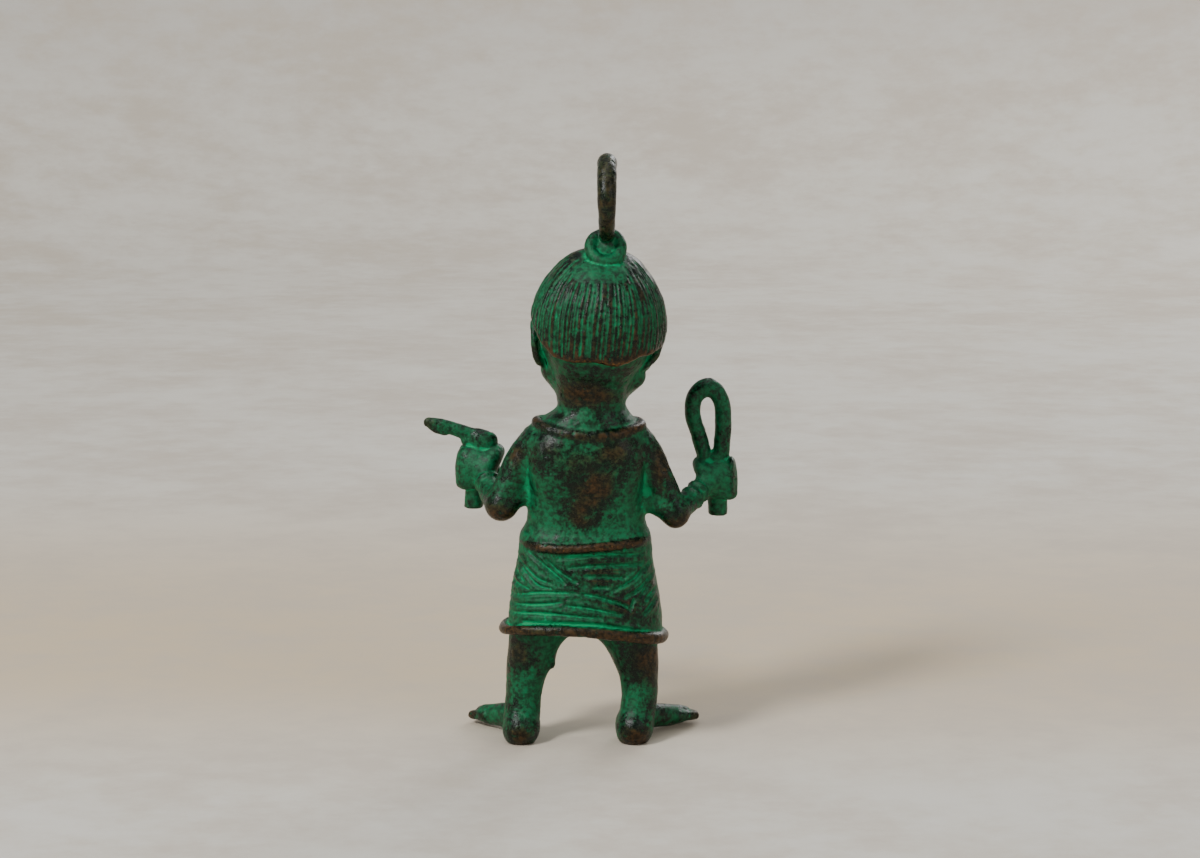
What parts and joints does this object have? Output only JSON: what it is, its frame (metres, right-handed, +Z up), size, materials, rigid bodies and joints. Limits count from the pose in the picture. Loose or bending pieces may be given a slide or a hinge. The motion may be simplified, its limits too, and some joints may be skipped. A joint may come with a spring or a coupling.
{
  "type": "cast brass standing figure",
  "caption": "Small lost-wax cast brass standing figure with a hanging loop on its crown, a hooked knife and a looped cord in its fists, and a wrapped cloth.",
  "frame": {"origin": "on the floor under the middle of the figure's bounding box", "axes": "+Z up, the figure faces -Y, +X to the figure's own left"},
  "size_m": [0.095, 0.0425, 0.1785],
  "materials": {
    "patinated_brass": "green and brown patina over cast brass, waxed and lightly worn on the high points"
  },
  "bodies": {
    "root": {"hanging_loop": "patinated_brass", "crown_ring": "patinated_brass", "hair_cap": "patinated_brass", "head": "patinated_brass", "nose": "patinated_brass", "lips": "patinated_brass", "left_eye": "patinated_brass", "right_eye": "patinated_brass", "left_ear": "patinated_brass", "right_ear": "patinated_brass", "neck": "patinated_brass", "collar_roll": "patinated_brass", "torso": "patinated_brass", "left_upper_arm": "patinated_brass", "left_forearm": "patinated_brass", "left_hand": "patinated_brass", "right_upper_arm": "patinated_brass", "right_forearm": "patinated_brass", "right_hand": "patinated_brass", "knife_grip": "patinated_brass", "knife_guard": "patinated_brass", "knife_blade": "patinated_brass", "cord_grip": "patinated_brass", "cord_loop": "patinated_brass", "belt_roll": "patinated_brass", "wrap_skirt": "patinated_brass", "hem_roll": "patinated_brass", "left_leg": "patinated_brass", "right_leg": "patinated_brass", "left_foot": "patinated_brass", "right_foot": "patinated_brass"}
  },
  "joints": []
}
